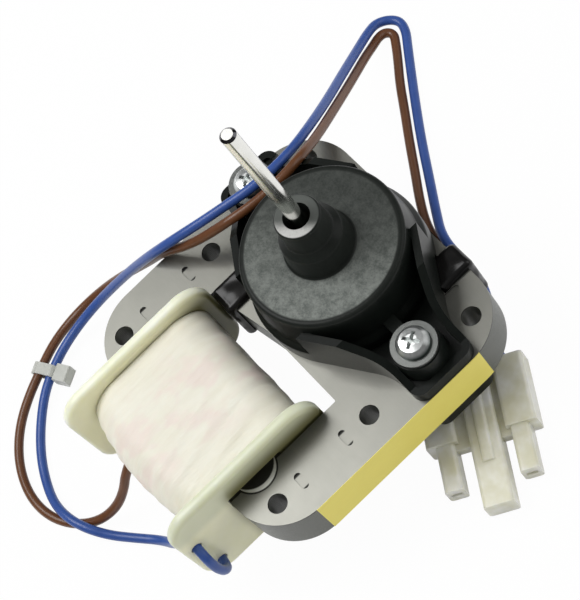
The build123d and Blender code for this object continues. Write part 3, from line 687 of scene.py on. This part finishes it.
def coil_skin():
    """Mesh of the outer skin, from rings along the coil."""
    low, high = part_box("coil_tape")
    points = []
    for ring in range(ring_count + 1):
        share = 2 * ring / ring_count - 1
        slope = share * share
        x = (low[0] + high[0] + share * (high[0] - low[0])) / 2
        section = coil_ring(low[1] + foot_sag * slope, high[1], low[2], high[2] - crown * slope)
        points += [(x, y, z) for y, z in section]
    around = len(section)
    faces = []
    for ring in range(ring_count):
        for step in range(around):
            here, beside = ring * around + step, ring * around + (step + 1) % around
            faces.append((here, beside, beside + around, here + around))
    skin = bpy.data.meshes.new("tape_skin")
    skin.from_pydata(points, [], faces)
    return skin


tape_skin = coil_skin()
print("skin points:", len(tape_skin.vertices), "faces:", len(tape_skin.polygons))

# %% Tape finish
def wrapping_tape():
    tape = Finish("wrapping_tape")
    crease_and_shade = tape.noise(1.9 * mm, 3.0, (1.0, 6.0, 6.0))
    fine = tape.noise(0.5 * mm, 2.0, (1.0, 5.0, 5.0))
    warm = (tape.fade(tape.noise(5.0 * mm, 2.0, (1.0, 1.6, 1.6)), 0.46, 0.66)
            * tape.fade(tape.size_of(tape.axis("X")), 14.0 * mm, 4.0 * mm))
    # Darker in the hollows of the noise that gives the bump: painted shade in the creases.
    pale = tape.mix(crease_and_shade, (0.84, 0.78, 0.62), (0.99, 0.955, 0.83))
    return tape.finish(
        Base_Color=tape.mix(warm * 0.75, pale, (0.91, 0.76, 0.68)),
        Roughness=0.40 + crease_and_shade * 0.2,
        Subsurface_Weight=0.15,
        Subsurface_Radius=(1.5, 1.0, 0.8),
        Subsurface_Scale=1.0 * mm,
        Normal=tape.bump(crease_and_shade * 0.8 + fine * 0.2, 0.35 * mm, 0.8))


tape_finish = wrapping_tape()
print("tape:", tape_finish.name)

# %% Crease tree
crease_slant = 0.22


def crease_tree(material):
    tree = bpy.data.node_groups.new("tape_creases", "GeometryNodeTree")
    tree.interface.new_socket("Geometry", in_out="INPUT", socket_type="NodeSocketGeometry")
    for name, default in (("Depth", 0.3 * mm), ("Crease Width", 2.2 * mm),
                          ("Crease Length", 14.0 * mm), ("Seed", 3.0)):
        socket = tree.interface.new_socket(name, in_out="INPUT", socket_type="NodeSocketFloat")
        socket.default_value = default
    tree.interface.new_socket("Geometry", in_out="OUTPUT", socket_type="NodeSocketGeometry")
    creases = Network(tree)

    def given(name):
        return creases.node("NodeGroupInput", out=name)

    place = creases.node("GeometryNodeInputPosition")
    x, y, z = (creases.node("ShaderNodeSeparateXYZ", inputs={0: place}, out=axis)
               for axis in "XYZ")
    squeezed = creases.node("ShaderNodeCombineXYZ", inputs={
        "X": (x + y * crease_slant) / given("Crease Width"),
        "Y": y / given("Crease Length"),
        "Z": z / given("Crease Length")})
    noise = creases.node("ShaderNodeTexNoise", {"noise_dimensions": "4D"}, {
        "Vector": squeezed, "W": given("Seed"), "Scale": 1.0, "Detail": 1.5})
    push = creases.node("ShaderNodeVectorMath", {"operation": "SCALE"}, {
        0: creases.node("GeometryNodeInputNormal"), "Scale": (noise - 0.5) * given("Depth")})
    moved = creases.node("GeometryNodeSetPosition", inputs={
        "Geometry": given("Geometry"), "Offset": push})
    smooth = creases.node("GeometryNodeSetShadeSmooth", inputs={0: moved})
    real = creases.node("GeometryNodeRealizeInstances", inputs={0: smooth})
    painted = creases.node("GeometryNodeSetMaterial", inputs={
        "Geometry": real, "Material": material})
    creases.node("NodeGroupOutput", inputs={0: painted})
    return tree


tape_creases = crease_tree(tape_finish)
inputs = {item.name: item.identifier for item in tape_creases.interface.items_tree
          if item.in_out == "INPUT"}
print("inputs of the tree:", inputs)

# %% Taped coil
tape_thickness = 0.2 * mm
source = bpy.data.objects.new("tape_source", tape_skin)
bpy.context.collection.objects.link(source)
creases = source.modifiers.new("creases", "NODES")
creases.node_group = tape_creases
creases[inputs["Depth"]] = 1.15 * mm
creases[inputs["Crease Width"]] = 3.0 * mm
creases[inputs["Crease Length"]] = 19.0 * mm
thick = source.modifiers.new("thickness", "SOLIDIFY")
thick.thickness = tape_thickness
thick.offset = -1.0
shaped = source.evaluated_get(bpy.context.evaluated_depsgraph_get())
tape_mesh = bpy.data.meshes.new_from_object(shaped)
bpy.data.objects.remove(source)
taped_coil = bpy.data.objects.new("creased_coil_tape", tape_mesh)
bpy.context.collection.objects.link(taped_coil)
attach(taped_coil, "frame")
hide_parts("coil_tape")
print("tape faces:", len(tape_mesh.polygons))

# %% [markdown]
# ## Table and light
#
# The photograph was taken on white, with soft light from the left. A large lamp there and a
# weaker one opposite give that. The room lights the motor with a plain grey, and the lens
# sees it as white. In reflections it is dim, and brighter upwards, and the table is pale, so
# that dark and shiny pieces keep their own colours.

# %% Table
def table_top():
    top = Finish("table_top")
    glow = top.node("ShaderNodeEmission", inputs={"Color": (1.0, 1.0, 1.0, 1.0), "Strength": 1.0})
    paper = top.node("ShaderNodeBsdfDiffuse", inputs={"Color": (0.92, 0.92, 0.92, 1.0)})
    straight = top.ray("Is Camera Ray") + top.ray("Is Transmission Ray")
    seen = straight * 0.97 + top.ray("Is Glossy Ray") * 0.62
    both = top.node("ShaderNodeMixShader", inputs={0: seen, 1: paper, 2: glow})
    top.node("ShaderNodeOutputMaterial", inputs={0: both})
    return top.material


table_half = 1.5
table_mesh = bpy.data.meshes.new("table")
table_mesh.from_pydata([(-table_half, -table_half, 0), (table_half, -table_half, 0),
                        (table_half, table_half, 0), (-table_half, table_half, 0)],
                       [], [(0, 1, 2, 3)])
table_mesh.materials.append(table_top())
table = bpy.data.objects.new("table", table_mesh)
bpy.context.collection.objects.link(table)
print("table:", 2 * table_half, "m square")


# %% Lamps
def lamp(name, place, aim, power, size):
    data = bpy.data.lights.new(name, "AREA")
    data.energy = power
    data.size = size
    item = bpy.data.objects.new(name, data)
    aimed = (Vector(aim) - Vector(place)).to_track_quat("-Z", "Y").to_matrix()
    item.matrix_world = Matrix.Translation(place) @ aimed.to_4x4()
    bpy.context.collection.objects.link(item)
    print(name, power, "W")


centre = (0.0, -0.015, 0.02)
lamp("key_lamp", (-0.19, -0.18, 0.47), centre, 1.60, 0.32)
lamp("fill_lamp", (0.14, 0.41, 0.30), centre, 0.55, 0.40)


# %% Room
def room_light(strength, seen_strength, low_shine, high_shine):
    world = bpy.data.worlds.new("room")
    world.use_nodes = True
    room = Network(world.node_tree)
    way = room.node("ShaderNodeTexCoord", out="Generated")
    upward = room.node("ShaderNodeSeparateXYZ", inputs={0: way}, out="Z")
    rise = room.node("ShaderNodeMath", {"operation": "MAXIMUM"}, {0: upward, 1: 0.0})
    shine = rise * rise * (high_shine - low_shine) + low_shine
    seen = room.ray("Is Camera Ray") + room.ray("Is Transmission Ray")
    level = (seen * (seen_strength - strength)
             + room.ray("Is Glossy Ray") * (shine - strength) + strength)
    backdrop = room.node("ShaderNodeBackground", inputs={
        "Color": (1.0, 1.0, 1.0, 1.0), "Strength": level})
    room.node("ShaderNodeOutputWorld", inputs={0: backdrop})
    bpy.context.scene.world = world
    print("room strength:", strength)


room_light(strength=0.42, seen_strength=1.0, low_shine=0.06, high_shine=0.30)
bpy.context.scene.view_settings.view_transform = "Standard"

# %% [markdown]
# ## New shapes
#
# Only the tape and the leads have new shapes.
